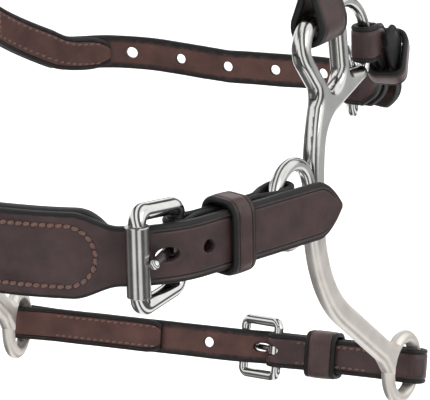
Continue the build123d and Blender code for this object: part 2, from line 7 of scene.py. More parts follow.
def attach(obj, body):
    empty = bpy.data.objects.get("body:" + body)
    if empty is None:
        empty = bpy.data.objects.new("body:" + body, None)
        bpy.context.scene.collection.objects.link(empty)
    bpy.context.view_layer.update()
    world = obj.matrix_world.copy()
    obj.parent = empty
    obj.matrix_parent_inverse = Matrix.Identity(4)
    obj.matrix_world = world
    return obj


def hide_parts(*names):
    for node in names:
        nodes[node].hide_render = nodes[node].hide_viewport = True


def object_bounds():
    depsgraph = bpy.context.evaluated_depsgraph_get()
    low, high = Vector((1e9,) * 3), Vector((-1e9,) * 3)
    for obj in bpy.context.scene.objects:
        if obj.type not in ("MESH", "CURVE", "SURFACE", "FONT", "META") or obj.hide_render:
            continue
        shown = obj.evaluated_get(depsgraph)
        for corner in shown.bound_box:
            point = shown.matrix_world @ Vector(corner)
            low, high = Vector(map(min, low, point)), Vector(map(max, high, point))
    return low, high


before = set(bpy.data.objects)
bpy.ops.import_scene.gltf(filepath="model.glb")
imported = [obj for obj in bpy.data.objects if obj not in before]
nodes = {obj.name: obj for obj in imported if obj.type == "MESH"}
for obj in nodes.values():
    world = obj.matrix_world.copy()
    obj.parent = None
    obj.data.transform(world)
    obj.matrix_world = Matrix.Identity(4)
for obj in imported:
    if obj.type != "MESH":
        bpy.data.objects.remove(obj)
cad_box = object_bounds()
MM = 0.001

# ---- the part's driving sizes, in millimetres ----
HALF_WIDTH, FLARE = 66.0, radians(8)
RING_RADIUS, RING_BAR = 13.4, 2.35
REIN_U, REIN_V, REIN_RADIUS, REIN_BAR = 85.6, -85.3, 11.2, 2.5
LOOP_U, LOOP_V = 21.7, 57.3
CURB_U, CURB_V, CURB_RADIUS, CURB_BAR = 38.0, 42.0, 18.5, 1.9
STRAP_ANGLE, BILLET_OUT, STRAIGHT_END = radians(25), 13.1, 50.0
BILLET, BILLET_THICK, NOSE_CORNER, FRONT_HALF = 19.4, 3.0, 36.0, 19.5
PAD, PAD_HALF, TAPER, LINING_END = 28.0, 20.0, 15.0, 32.0
CHAPE_HALF, LAYER = 9.5, 2.2
HEEL_S, KEEPER_S, KEEPER_LONG, TIP_BACK = 55.5, 31.0, 9.6, 11.0
NARROW, NARROW_THICK, THIN = 12.7, 2.2, 2.0
CURB_LINE, CURB_STRAIGHT, CURB_CORNER, CURB_BACK = 5.3, 16.8, 30.0, 40.0
CURB_HIGH, CURB_LOW, SLOPE_FROM, SLOPE_TO, FAR_RISE = 42.9, 15.5, 61.0, 96.0, 0.09
LOWER_TILT, LOWER_HEEL, LOWER_TAIL, LOWER_TIP = radians(15), 26.0, -21.0, 61.0
SMALL_EYE = 2.0
HOLE_PITCH, HOLE, SLOT, SMALL_PITCH, SMALL_HOLE, SMALL_SLOT = 15, 2.1, 2.3, 19.05, 1.9, 1.6
CURB_REAR = 115.6
CHEEK_HALF, CHEEK_LAYER, CHEEK_HEEL = 9.0, 2.4, 105.3

UP = Vector((0, 0, 1))
REAR = Vector((sin(FLARE), cos(FLARE), 0))
OUT = Vector((REAR.y, -REAR.x, 0))
ALONG = Vector((-sin(STRAP_ANGLE), -cos(STRAP_ANGLE), 0))
BESIDE = Vector((-ALONG.y, ALONG.x, 0))


def lever_point(u, v=0.0):
    return Vector((HALF_WIDTH, 0, 0)) + REAR * u + UP * v


def side_point(s, q, z=0.0):
    return Vector((HALF_WIDTH, 0, 0)) + ALONG * s + BESIDE * q + UP * z


def flip(p):
    return Vector((-p.x, p.y, p.z))


# ======== paths in a plane ========
def run_path(start, heading, steps, offset=0.0, step=0.7):
    """Points along straights ("line", length) and arcs (radius, turn in degrees, left positive).

    The points are moved right by offset.
    """
    pts = []
    p, h = Vector(start), heading
    for kind, value in steps:
        if kind == "line":
            n = max(1, ceil(value / step))
            for i in range(n):
                q = p + Vector((cos(h), sin(h))) * value * i / n
                pts.append(q + Vector((sin(h), -cos(h))) * offset)
            p = p + Vector((cos(h), sin(h))) * value
        else:
            turn = radians(value)
            side = 1 if turn > 0 else -1
            centre = p + Vector((-sin(h), cos(h))) * kind * side
            n = max(2, ceil(abs(turn) * kind / step))
            for i in range(n):
                a = h + turn * i / n
                q = centre + Vector((sin(a), -cos(a))) * kind * side
                pts.append(q + Vector((sin(a), -cos(a))) * offset)
            h += turn
            p = centre + Vector((sin(h), -cos(h))) * kind * side
    pts.append(p + Vector((sin(h), -cos(h))) * offset)
    return pts


def outline(circles, steps=48):
    """The outline round circles (x, y, r), anticlockwise."""
    pts = []
    for x, y, r in circles:
        for i in range(steps):
            a = 2 * pi * i / steps
            pts.append((x + r * cos(a), y + r * sin(a)))
    pts = sorted(set(pts))

    def turns_left(a, b, c):
        return (b[0] - a[0]) * (c[1] - a[1]) - (b[1] - a[1]) * (c[0] - a[0]) > 0

    def half(ps):
        out = []
        for p in ps:
            while len(out) > 1 and not turns_left(out[-2], out[-1], p):
                out.pop()
            out.append(p)
        return out[:-1]

    return [Vector(p) for p in half(pts) + half(pts[::-1])]


def round_eye(circles, merge, r):
    """The way round an eye, anticlockwise, from and back to the merging point's two sides."""
    ring = outline([*circles, (merge.x, merge.y, r)])
    far = Vector((circles[0][0], circles[0][1]))
    d = (far - merge).normalized()
    side = Vector((d.y, -d.x)) * r
    inside = [(p - merge).length < r * 1.01 for p in ring]
    first = next(i for i in range(len(ring)) if inside[i - 1] and not inside[i])
    turned = ring[first:] + ring[:first]
    eye = [p for p in turned if (p - merge).length >= r * 1.01]
    return [merge + side, *eye, merge - side]


def resample(pts, step=0.8, closed=False):
    src = pts + [pts[0]] if closed else pts
    lengths = [0.0]
    for a, b in zip(src, src[1:]):
        lengths.append(lengths[-1] + (b - a).length)
    n = max(3, round(lengths[-1] / step))
    out, k = [], 0
    for i in range(n if closed else n + 1):
        s = lengths[-1] * i / n
        while k < len(src) - 2 and lengths[k + 1] < s:
            k += 1
        span = lengths[k + 1] - lengths[k]
        t = (s - lengths[k]) / span if span > 1e-9 else 0
        out.append(src[k].lerp(src[k + 1], t))
    return out


def soften(pts, times=3, closed=False):
    for _ in range(times):
        new = []
        for i, p in enumerate(pts):
            if closed or 0 < i < len(pts) - 1:
                new.append(pts[i - 1] * 0.25 + p * 0.5 + pts[(i + 1) % len(pts)] * 0.25)
            else:
                new.append(p)
        pts = new
    return pts


# ======== straps ========
def section(h, t, crease, n_in, crease_at):
    """Points (across, out, edge) round a strap's section, outer face first."""
    r = min(0.46 * t, 0.95, h * 0.6)
    k = min(1.0, 0.85 * (h - r) / (crease_at + 0.45 - r))
    pts = []
    for i in range(4):
        a = pi / 2 * (1 - i / 3)
        pts.append((-h + r - r * sin(a), t / 2 - r + r * cos(a), 1.0 - 0.12 * i))
    marks = [(r + 0.35, 0, 0.45), (crease_at - 0.45, 0, 0.12)]
    marks += [(crease_at - 0.12, 1, 0.85), (crease_at + 0.12, 1, 0.85), (crease_at + 0.45, 0, 0.0)]
    left = []
    for d, g, e in marks:
        left.append((-h + r + (d - r) * k, t / 2 - 0.42 * g * crease, e if g == 0 else e * crease))
    pts += left
    x0 = left[-1][0]
    for i in range(1, n_in):
        pts.append((x0 - 2 * x0 * i / n_in, t / 2, 0.0))
    pts += [(-a, b, e) for a, b, e in reversed(left)]
    for i in range(4):
        a = pi / 2 * i / 3
        pts.append((h - r + r * sin(a), t / 2 - r + r * cos(a), 0.64 + 0.12 * i))
    for i in range(4):
        a = pi / 2 * (1 - i / 3)
        pts.append((h - r + r * sin(a), -t / 2 + r - r * cos(a), 1.0 - 0.12 * i))
    n = n_in + 2
    for i in range(1, n):
        pts.append(((h - r) * (1 - 2 * i / n), -t / 2, 0.5 if i in (1, n - 1) else 0.0))
    for i in range(4):
        a = pi / 2 * i / 3
        pts.append((-h + r - r * sin(a), -t / 2 + r - r * cos(a), 0.64 + 0.12 * i))
    return pts


def strap(name, rows, material, n_in=9, crease_at=2.0, closed=False, relief=None):
    """A strap through rows of (centre, outward, width direction, half width, thickness, crease)."""
    verts, edge_dye_and_shade, faces = [], [], []
    for i, (c, n, w, h, t, crease) in enumerate(rows):
        for a, b, e in section(h, t, crease, n_in, crease_at):
            lift, dark = relief(i, a, b) if relief else (0.0, 0.0)
            p = c + w * a + n * (b + lift)
            wob = noise.noise(p * 0.09) * 0.16
            verts.append((p + n * wob + w * wob * 0.6) * MM)
            edge_dye_and_shade.append(min(1.0, e + dark))
    m = len(verts) // len(rows)
    count = len(rows) if closed else len(rows) - 1
    for i in range(count):
        j = (i + 1) % len(rows)
        for k in range(m):
            l = (k + 1) % m
            faces.append((i * m + k, i * m + l, j * m + l, j * m + k))
    if not closed:
        faces.append(tuple(range(m))[::-1])
        faces.append(tuple((len(rows) - 1) * m + k for k in range(m)))
    return mesh_object(name, verts, faces, material, {"edge_dye_and_shade": edge_dye_and_shade})


def mesh_object(name, verts, faces, material, values=None):
    mesh = bpy.data.meshes.new(name)
    mesh.from_pydata([tuple(v) for v in verts], [], faces)
    for key, data in (values or {}).items():
        layer = mesh.attributes.new(key, "FLOAT", "POINT")
        layer.data.foreach_set("value", data)
    bm = bmesh.new()
    bm.from_mesh(mesh)
    bmesh.ops.recalc_face_normals(bm, faces=bm.faces)
    if bm.calc_volume(signed=True) < 0:
        bmesh.ops.reverse_faces(bm, faces=bm.faces)
    for f in bm.faces:
        f.smooth = len(f.verts) < 6
    bm.to_mesh(mesh)
    bm.free()
    mesh.materials.append(material)
    obj = bpy.data.objects.new(name, mesh)
    bpy.context.scene.collection.objects.link(obj)
    return obj


def rows_along(path, place, w, half, thick, crease=1.0, side=1, closed=False):
    """Rows through a plane path. place turns (x, y) into a point; side 1 puts the outer face on the right."""
    rows = []
    n = len(path)
    for i, p in enumerate(path):
        a = path[i - 1] if closed or i else p
        b = path[(i + 1) % n] if closed or i < n - 1 else p
        c = place(p)
        d = (place(b) - place(a)).normalized()
        out = d.cross(w).normalized() * side
        h = half(i / (n - 1)) if callable(half) else half
        rows.append((c, out, w, h, thick, crease))
    return rows


def drill(obj, centre, axis, radius, stretch=None, long=12.0, flare=0.35, thick=3.0):
    """A round-edged hole through a strap, made longer along stretch = (direction, factor)."""
    z = axis.normalized()
    x = (stretch[0] if stretch else z.orthogonal()).normalized()
    x = (x - z * x.dot(z)).normalized()
    y = z.cross(x)
    k = stretch[1] if stretch else 1.0
    steps = 28
    levels = [(-long / 2, radius + flare), (-thick / 2, radius + flare * 0.9), (-thick / 2 + 0.5, radius)]
    levels += [(thick / 2 - 0.5, radius), (thick / 2, radius + flare * 0.9), (long / 2, radius + flare)]
    verts, faces = [], []
    for d, r in levels:
        for i in range(steps):
            a = 2 * pi * i / steps
            verts.append((centre + z * d + x * (r * cos(a) * k) + y * (r * sin(a))) * MM)
    for j in range(len(levels) - 1):
        for i in range(steps):
            l = (i + 1) % steps
            faces.append((j * steps + i, j * steps + l, (j + 1) * steps + l, (j + 1) * steps + i))
    faces.append(tuple(range(steps)))
    faces.append(tuple((len(levels) - 1) * steps + i for i in range(steps)))
    tool = mesh_object("hole_tool", verts, faces, obj.data.materials[0], {"edge_dye_and_shade": [1.0] * len(verts)})
    cut = obj.modifiers.new("hole", "BOOLEAN")
    cut.operation, cut.solver, cut.object = "DIFFERENCE", "EXACT", tool
    bpy.context.view_layer.update()
    graph = bpy.context.evaluated_depsgraph_get()
    mesh = bpy.data.meshes.new_from_object(obj.evaluated_get(graph))
    obj.modifiers.clear()
    old = obj.data
    obj.data = mesh
    bpy.data.meshes.remove(old)
    bpy.data.objects.remove(tool)


def stitches(name, spots, material, body, long=2.1, thick=0.46, slant=12):
    """Threads at (point, outward, along) spots, each lying slanted and half sunk in its holes."""
    verts, faces = [], []
    rings, sides = 6, 8
    for k, (p, n, d) in enumerate(spots):
        n = n.normalized()
        d = (d - n * d.dot(n)).normalized()
        turn = Matrix.Rotation(radians(slant + 5 * noise.noise(p * 0.9)), 3, n)
        d = turn @ d
        s = n.cross(d)
        base = len(verts)
        for i in range(rings + 1):
            a = pi * i / rings
            r = thick * max(0.12, sin(a)) ** 0.6
            x = -cos(a) * long / 2
            dip = -0.35 * (2 * x / long) ** 4
            for j in range(sides):
                b = 2 * pi * j / sides
                rise = r * sin(b) * 0.8 + dip + thick * 0.25
                verts.append((p + d * x + s * (r * cos(b)) + n * rise) * MM)
        for i in range(rings):
            low, high = base + i * sides, base + (i + 1) * sides
            for j in range(sides):
                l = (j + 1) % sides
                faces.append((low + j, low + l, high + l, high + j))
        faces.append(tuple(base + j for j in range(sides)))
        faces.append(tuple(base + rings * sides + j for j in range(sides)))
    obj = mesh_object(name, verts, faces, material)
    for f in obj.data.polygons:
        f.use_smooth = True
    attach(obj, body)
    return obj


def mirror_copy(obj, name):
    mesh = obj.data.copy()
    mesh.transform(Matrix.Scale(-1, 4, (1, 0, 0)))
    mesh.flip_normals()
    other = bpy.data.objects.new(name, mesh)
    bpy.context.scene.collection.objects.link(other)
    return other


# ======== materials ========
def new_material(name):
    mat = bpy.data.materials.new(name)
    mat.use_nodes = True
    tree = mat.node_tree
    return mat, tree.nodes, tree.links, tree.nodes["Principled BSDF"]


def ramp(nodes_, stops):
    r = nodes_.new("ShaderNodeValToRGB")
    e = r.color_ramp.elements
    e[0].position, e[0].color = stops[0][0], (*stops[0][1], 1)
    e[1].position, e[1].color = stops[-1][0], (*stops[-1][1], 1)
    for pos, col in stops[1:-1]:
        n = e.new(pos)
        n.color = (*col, 1)
    return r


def noise_tex(nodes_, links, coord, scale, detail=4.0, rough=0.55):
    t = nodes_.new("ShaderNodeTexNoise")
    t.inputs["Scale"].default_value = scale
    t.inputs["Detail"].default_value = detail
    t.inputs["Roughness"].default_value = rough
    links.new(coord, t.inputs["Vector"])
    return t


EDGE_ROUGH, WAX, CLOUD_SCALE = 0.5, 0.06, 160


def leather(name, low, high, edge_dye_and_shade_colour, rough=0.42, grain=0.25):
    mat, n, l, b = new_material(name)
    coord = n.new("ShaderNodeTexCoord").outputs["Object"]
    cloud = noise_tex(n, l, coord, 110, 5, 0.6)
    colours = ramp(n, [(0.3, low), (0.72, high)])
    l.new(cloud.outputs["Fac"], colours.inputs["Fac"])
    # this attribute darkens the dyed edges, crease lines and hole walls, and also carries painted shade: the
    # noseband's stitch channel, the lining's face against the front strap and the curb billet's tip
    attr = n.new("ShaderNodeAttribute")
    attr.attribute_name = "edge_dye_and_shade"
    patch = noise_tex(n, l, coord, 420, 3)
    vary = n.new("ShaderNodeMath")
    vary.operation = "MULTIPLY_ADD"
    vary.inputs[1].default_value = 0.35
    vary.inputs[2].default_value = -0.17
    l.new(patch.outputs["Fac"], vary.inputs[0])
    add = n.new("ShaderNodeMath")
    add.operation = "ADD"
    l.new(attr.outputs["Fac"], add.inputs[0])
    l.new(vary.outputs[0], add.inputs[1])
    mask = ramp(n, [(0.38, (0, 0, 0)), (0.62, (1, 1, 1))])
    l.new(add.outputs[0], mask.inputs["Fac"])
    mix = n.new("ShaderNodeMix")
    mix.data_type = "RGBA"
    mix.inputs["B"].default_value = (*edge_dye_and_shade_colour, 1)
    l.new(mask.outputs["Color"], mix.inputs["Factor"])
    l.new(colours.outputs["Color"], mix.inputs["A"])
    l.new(mix.outputs["Result"], b.inputs["Base Color"])
    rmix = n.new("ShaderNodeMapRange")
    rmix.inputs["To Min"].default_value = rough
    rmix.inputs["To Max"].default_value = EDGE_ROUGH
    l.new(mask.outputs["Color"], rmix.inputs["Value"])
    scuff = noise_tex(n, l, coord, 260, 6, 0.7)
    radd = n.new("ShaderNodeMath")
    radd.operation = "MULTIPLY_ADD"
    radd.inputs[1].default_value = 0.22
    l.new(scuff.outputs["Fac"], radd.inputs[0])
    shift = n.new("ShaderNodeMath")
    shift.operation = "SUBTRACT"
    shift.inputs[1].default_value = 0.11
    l.new(rmix.outputs["Result"], shift.inputs[0])
    l.new(shift.outputs[0], radd.inputs[2])
    l.new(radd.outputs[0], b.inputs["Roughness"])
    pores = n.new("ShaderNodeTexVoronoi")
    pores.inputs["Scale"].default_value = 1900
    l.new(coord, pores.inputs["Vector"])
    fine = noise_tex(n, l, coord, 900, 4, 0.65)
    total = n.new("ShaderNodeMath")
    total.operation = "MULTIPLY_ADD"
    total.inputs[1].default_value = 0.45
    l.new(pores.outputs["Distance"], total.inputs[0])
    l.new(fine.outputs["Fac"], total.inputs[2])
    bump = n.new("ShaderNodeBump")
    bump.inputs["Strength"].default_value = grain
    bump.inputs["Distance"].default_value = 0.00025
    l.new(total.outputs[0], bump.inputs["Height"])
    l.new(bump.outputs["Normal"], b.inputs["Normal"])
    b.inputs["Coat Weight"].default_value = WAX
    b.inputs["Coat Roughness"].default_value = 0.3
    b.inputs["Specular IOR Level"].default_value = 0.28
    return mat


def thread(name, low, high):
    mat, n, l, b = new_material(name)
    coord = n.new("ShaderNodeTexCoord").outputs["Object"]
    twist = n.new("ShaderNodeTexWave")
    twist.inputs["Scale"].default_value = 900
    twist.inputs["Distortion"].default_value = 2.0
    l.new(coord, twist.inputs["Vector"])
    colours = ramp(n, [(0.1, low), (0.9, high)])
    l.new(twist.outputs["Fac"], colours.inputs["Fac"])
    l.new(colours.outputs["Color"], b.inputs["Base Color"])
    bump = n.new("ShaderNodeBump")
    bump.inputs["Strength"].default_value = 0.5
    bump.inputs["Distance"].default_value = 0.0001
    l.new(twist.outputs["Fac"], bump.inputs["Height"])
    l.new(bump.outputs["Normal"], b.inputs["Normal"])
    b.inputs["Roughness"].default_value = 0.6
    b.inputs["Sheen Weight"].default_value = 0.2
    return mat


def steel(name, colour, rough, spread=0.08, bump_strength=0.04):
    mat, n, l, b = new_material(name)
    coord = n.new("ShaderNodeTexCoord").outputs["Object"]
    cloud = noise_tex(n, l, coord, CLOUD_SCALE, 5, 0.6)
    dark = tuple(c * 0.9 for c in colour)
    colours = ramp(n, [(0.35, dark), (0.65, colour)])
    l.new(cloud.outputs["Fac"], colours.inputs["Fac"])
    l.new(colours.outputs["Color"], b.inputs["Base Color"])
    r = n.new("ShaderNodeMapRange")
    r.inputs["To Min"].default_value = max(0.02, rough - spread / 2)
    r.inputs["To Max"].default_value = rough + spread / 2
    l.new(cloud.outputs["Fac"], r.inputs["Value"])
    l.new(r.outputs["Result"], b.inputs["Roughness"])
    fine = noise_tex(n, l, coord, 420, 3, 0.5)
    bump = n.new("ShaderNodeBump")
    bump.inputs["Strength"].default_value = bump_strength
    bump.inputs["Distance"].default_value = 0.0002
    l.new(fine.outputs["Fac"], bump.inputs["Height"])
    l.new(bump.outputs["Normal"], b.inputs["Normal"])
    b.inputs["Metallic"].default_value = 1.0
    return mat


def cast_steel(name, outward):
    """Polished round edges, satin flat faces, and a paler satin lower shank."""
    mat, n, l, b = new_material(name)
    geo = n.new("ShaderNodeNewGeometry")
    coord = n.new("ShaderNodeTexCoord").outputs["Object"]
    dot = n.new("ShaderNodeVectorMath")
    dot.operation = "DOT_PRODUCT"
    dot.inputs[1].default_value = outward
    l.new(geo.outputs["True Normal"], dot.inputs[0])
    size = n.new("ShaderNodeMath")
    size.operation = "ABSOLUTE"
    l.new(dot.outputs["Value"], size.inputs[0])
    flat = n.new("ShaderNodeMapRange")
    flat.inputs["From Min"].default_value = 0.93
    flat.inputs["From Max"].default_value = 0.99
    l.new(size.outputs[0], flat.inputs["Value"])
    split = n.new("ShaderNodeSeparateXYZ")
    l.new(coord, split.inputs[0])
    low = n.new("ShaderNodeMapRange")
    low.inputs["From Min"].default_value = -0.004
    low.inputs["From Max"].default_value = -0.022
    l.new(split.outputs["Z"], low.inputs["Value"])
    satin = n.new("ShaderNodeMath")
    satin.operation = "MAXIMUM"
    l.new(flat.outputs["Result"], satin.inputs[0])
    l.new(low.outputs["Result"], satin.inputs[1])
    cloud = noise_tex(n, l, coord, 140, 5, 0.6)
    rough = n.new("ShaderNodeMapRange")
    rough.inputs["To Min"].default_value = 0.09
    rough.inputs["To Max"].default_value = 0.42
    l.new(satin.outputs[0], rough.inputs["Value"])
    vary = n.new("ShaderNodeMath")
    vary.operation = "MULTIPLY_ADD"
    vary.inputs[1].default_value = 0.12
    l.new(cloud.outputs["Fac"], vary.inputs[0])
    l.new(rough.outputs["Result"], vary.inputs[2])
    l.new(vary.outputs[0], b.inputs["Roughness"])
    mix = n.new("ShaderNodeMix")
    mix.data_type = "RGBA"
    mix.inputs["A"].default_value = (0.6, 0.6, 0.58, 1)
    mix.inputs["B"].default_value = (0.86, 0.81, 0.76, 1)
    l.new(low.outputs["Result"], mix.inputs["Factor"])
    tone = ramp(n, [(0.3, (0.88, 0.88, 0.88)), (0.7, (1, 1, 1))])
    l.new(cloud.outputs["Fac"], tone.inputs["Fac"])
    product = n.new("ShaderNodeMix")
    product.data_type = "RGBA"
    product.blend_type = "MULTIPLY"
    product.inputs["Factor"].default_value = 1.0
    l.new(mix.outputs["Result"], product.inputs["A"])
    l.new(tone.outputs["Color"], product.inputs["B"])
    l.new(product.outputs["Result"], b.inputs["Base Color"])
    grit = noise_tex(n, l, coord, 700, 3, 0.6)
    bump = n.new("ShaderNodeBump")
    bump.inputs["Strength"].default_value = 0.06
    bump.inputs["Distance"].default_value = 0.0002
    l.new(grit.outputs["Fac"], bump.inputs["Height"])
    l.new(bump.outputs["Normal"], b.inputs["Normal"])
    b.inputs["Metallic"].default_value = 1.0
    return mat


BLACK, SOFT_BLACK, WORN_BLACK = (0.006, 0.006, 0.0065), (0.007, 0.0065, 0.0065), (0.012, 0.012, 0.013)
brown = leather("bridle_leather", (0.028, 0.016, 0.016), (0.052, 0.029, 0.028), BLACK)
red_brown = leather("flesh_side_leather", (0.045, 0.020, 0.017), (0.085, 0.037, 0.030), SOFT_BLACK, 0.5)
keeper_leather = leather("keeper_leather", (0.034, 0.020, 0.019), (0.060, 0.035, 0.033), BLACK, 0.36)
lining_leather = leather("lining_leather", (0.014, 0.012, 0.012), (0.03, 0.026, 0.026), WORN_BLACK, 0.5, 0.4)
copper_thread = thread("copper_thread", (0.055, 0.024, 0.017), (0.17, 0.078, 0.055))
polished = steel("polished_steel", (0.62, 0.62, 0.61), 0.1)
roller_steel = steel("roller_steel", (0.5, 0.49, 0.475), 0.18, 0.06, 0.03)
satin_left = cast_steel("cast_steel_left", tuple(OUT))
satin_right = cast_steel("cast_steel_right", tuple(flip(OUT)))

for name, obj in nodes.items():
    if "frame" in name or "tongue" in name:
        finish = polished
    elif "roller" in name:
        finish = roller_steel
    elif name == "left_shank":
        finish = satin_left
    elif name == "right_shank":
        finish = satin_right
    else:
        continue
    for s in obj.material_slots:
        s.material = finish


def finish_piece(obj, body, slot, *stands_for):
    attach(obj, body)
    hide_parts(*stands_for)


# ======== noseband ========
nose_turn = 90 - STRAP_ANGLE * 180 / pi - FRONT_HALF
straight_out = side_point(STRAIGHT_END, BILLET_OUT)
corner_x = straight_out.x - NOSE_CORNER * (cos(STRAP_ANGLE) - sin(radians(FRONT_HALF)))
NOSE_FRONT = corner_x / sin(radians(FRONT_HALF))


def nose_path(depth, back, step=0.7):
    """The left half in plan, depth inside the front face, from back mm behind the ring to the middle."""
    start = side_point(-back, BILLET_OUT)
    heading = atan2(ALONG.y, ALONG.x)
    steps = [("line", back + STRAIGHT_END), (NOSE_CORNER, -nose_turn), (NOSE_FRONT, -FRONT_HALF)]
    return run_path((start.x, start.y), heading, steps, depth, step)


def whole_nose(depth, back, step=0.7):
    left = nose_path(depth, back, step)
    return left + [Vector((-p.x, p.y)) for p in reversed(left[:-1])]


def arc_positions(path):
    s = [0.0]
    for a, b in zip(path, path[1:]):
        s.append(s[-1] + (b - a).length)
    mid = s[-1] / 2
    return [v - mid for v in s]


def smooth(t):
    t = max(0.0, min(1.0, t))
    return t * t * (3 - 2 * t)


def plan(p):
    return Vector((p.x, p.y, 0))


STITCH_HALF, STITCH_END = 9.9, 27.5
front_path = whole_nose(BILLET_THICK / 2, TIP_BACK)
front_s = arc_positions(front_path)
front_end = -front_s[0]


def front_half(i):
    s = abs(front_s[i])
    wide = 1 - smooth((s - PAD_HALF) / TAPER)
    h = BILLET / 2 + (PAD - BILLET) / 2 * wide
    tip = (front_end - s) / 10.5
    if tip < 1:
        h = min(h, 1.1 + (BILLET / 2 - 1.1) * sin(pi / 2 * max(0, tip)) ** 0.85)
    return h


def front_relief(i, a, b):
    """The stitched channel, its groove darkened with painted shade, and the slight crown of the padded
    middle.
    """
    if b < 0:
        return 0.0, 0.0
    s = abs(front_s[i])
    mid = STITCH_END - STITCH_HALF
    d = STITCH_HALF - (abs(a) if s < mid else sqrt((s - mid) ** 2 + a * a))
    lift = -0.5 * exp(-((d / 0.75) ** 2)) + 0.7 * smooth(d / 5.0)
    # painted shade: the groove along the stitch line is darkened
    dark = 0.6 * exp(-((d / 0.75) ** 2))
    return lift, dark


rows = rows_along(front_path, plan, UP, 1.0, BILLET_THICK, 1.0, -1)
front_crease = [smooth((abs(s) - 40) / 8) * smooth((front_end - abs(s)) / 6) for s in front_s]
rows = [(c, n, w, front_half(i), t, front_crease[i]) for i, (c, n, w, h, t, k) in enumerate(rows)]
front_strap = strap("noseband_strap", rows, brown, 33, 2.2, relief=front_relief)
hole_turn = radians(23.5)
corner_centre = side_point(STRAIGHT_END, BILLET_OUT - NOSE_CORNER)
for k in range(2):
    at = side_point(STRAIGHT_END - 0.5 - HOLE_PITCH * k, BILLET_OUT - BILLET_THICK / 2)
    drill(front_strap, at, BESIDE, HOLE)
    drill(front_strap, flip(at), flip(BESIDE), HOLE)
slot_n = ALONG * sin(hole_turn) + BESIDE * cos(hole_turn)
slot_at = corner_centre + slot_n * (NOSE_CORNER - BILLET_THICK / 2)
slot_x = ALONG * cos(hole_turn) - BESIDE * sin(hole_turn)
drill(front_strap, slot_at, slot_n, SLOT, (slot_x, 1.75))
drill(front_strap, flip(slot_at), flip(slot_n), SLOT, (flip(slot_x), 1.75))
finish_piece(front_strap, "noseband", "leather_strap", "noseband_front")

back_depth = BILLET_THICK + 0.15
pad_path = [p for p in whole_nose(back_depth + 2.4, TIP_BACK, 0.9) if abs(p.x) < LINING_END]
pad_s = arc_positions(pad_path)


def pad_half(i):
    s = abs(pad_s[i])
    end = -pad_s[0]
    wide = 1 - smooth((s - PAD_HALF) / TAPER)
    h = BILLET / 2 + (PAD - BILLET) / 2 * wide + 0.3
    left = max(0.0, (end - s) / 9.0)
    return h * (0.35 + 0.65 * sqrt(max(0.0, 1 - (1 - min(1, left)) ** 2)))


def pad_relief(i, a, b):
    """The padding swells the lining's middle and pinches in at the seam; its face against the front strap
    gets painted shade.
    """
    h = pad_half(i)
    x = min(1.0, abs(a) / h)
    swell = (1 - x**2.6) ** 0.7
    s = abs(pad_s[i]) / -pad_s[0]
    swell *= (1 - s**6) ** 0.6
    seam = exp(-(((h - abs(a) - 3.4) / 0.7) ** 2)) * 0.35
    if b < 0:
        return -(0.9 * swell - 0.9) + seam, 0.0
    # painted shade on the face that lies against the front strap
    return -0.25 * (1 - swell), 0.25


rows = rows_along(pad_path, plan, UP, 1.0, 4.6, 0.0, -1)
rows = [(c, n, w, pad_half(i), t, k) for i, (c, n, w, h, t, k) in enumerate(rows)]
pad = strap("noseband_pad", rows, lining_leather, 25, 2.2, relief=pad_relief)
finish_piece(pad, "noseband", "leather_lining", "noseband_lining", "noseband_padding")


def on_front(s, a):
    """A point of the padded front's outer face, s along it from the middle and a up."""
    k = min(range(len(front_s)), key=lambda i: abs(front_s[i] - s))
    c, n, w = front_rows[k][:3]
    step = front_rows[min(k + 1, len(front_rows) - 1)][0] - front_rows[max(k - 1, 0)][0]
    d = step.normalized()
    return c + d * (s - front_s[k]) + w * a + n * (BILLET_THICK / 2 - 0.42), n, d, w


front_rows = rows_along(front_path, plan, UP, 1.0, BILLET_THICK, 1.0, -1)
spots = []
pitch = 2.6
mid = STITCH_END - STITCH_HALF
length = 4 * mid + 2 * pi * STITCH_HALF
count = round(length / pitch)
for i in range(count):
    x = (i + 0.5) * length / count
    for span, kind in ((2 * mid, 0), (pi * STITCH_HALF, 1), (2 * mid, 2), (pi * STITCH_HALF, 3)):
        if x < span:
            break
        x -= span
    if kind == 0:
        s, a, ds, da = -mid + x, STITCH_HALF, 1, 0
    elif kind == 1:
        t = x / STITCH_HALF
        s, a, ds, da = mid + STITCH_HALF * sin(t), STITCH_HALF * cos(t), cos(t), -sin(t)
    elif kind == 2:
        s, a, ds, da = mid - x, -STITCH_HALF, -1, 0
    else:
        t = x / STITCH_HALF
        s, a, ds, da = -mid - STITCH_HALF * sin(t), -STITCH_HALF * cos(t), -cos(t), sin(t)
    p, n, d, w = on_front(s, a)
    spots.append((p, n, d * ds + w * da))
stitches("noseband_stitches", spots, copper_thread, "noseband", 2.35, 0.7, 16)

# the same seam seen on the padding's inner side
pad_rows = rows
spots = []
for edge_side in (-1, 1):
    for i in range(3, len(pad_rows) - 3):
        s = pad_s[i]
        if i % 3 or abs(s) > STITCH_END - 4:
            continue
        c, n, w, h, t, k = pad_rows[i]
        a = (h - 3.4) * edge_side
        lift = pad_relief(i, a, -1)[0]
        d = pad_rows[i + 1][0] - pad_rows[i - 1][0]
        spots.append((c + w * a + n * (lift - t / 2 + 0.1), -n, d))
stitches("noseband_inner_stitches", spots, copper_thread, "noseband", 2.0, 0.5, 16)

# ---- noseband chapes ----
inner_corner = NOSE_CORNER - BILLET_THICK
heel_q = BILLET_OUT - NOSE_CORNER + sqrt(inner_corner**2 - (HEEL_S - STRAIGHT_END) ** 2) - 5.0
heel = side_point(HEEL_S, heel_q)


def v2(p):
    return Vector((p.x, p.y))


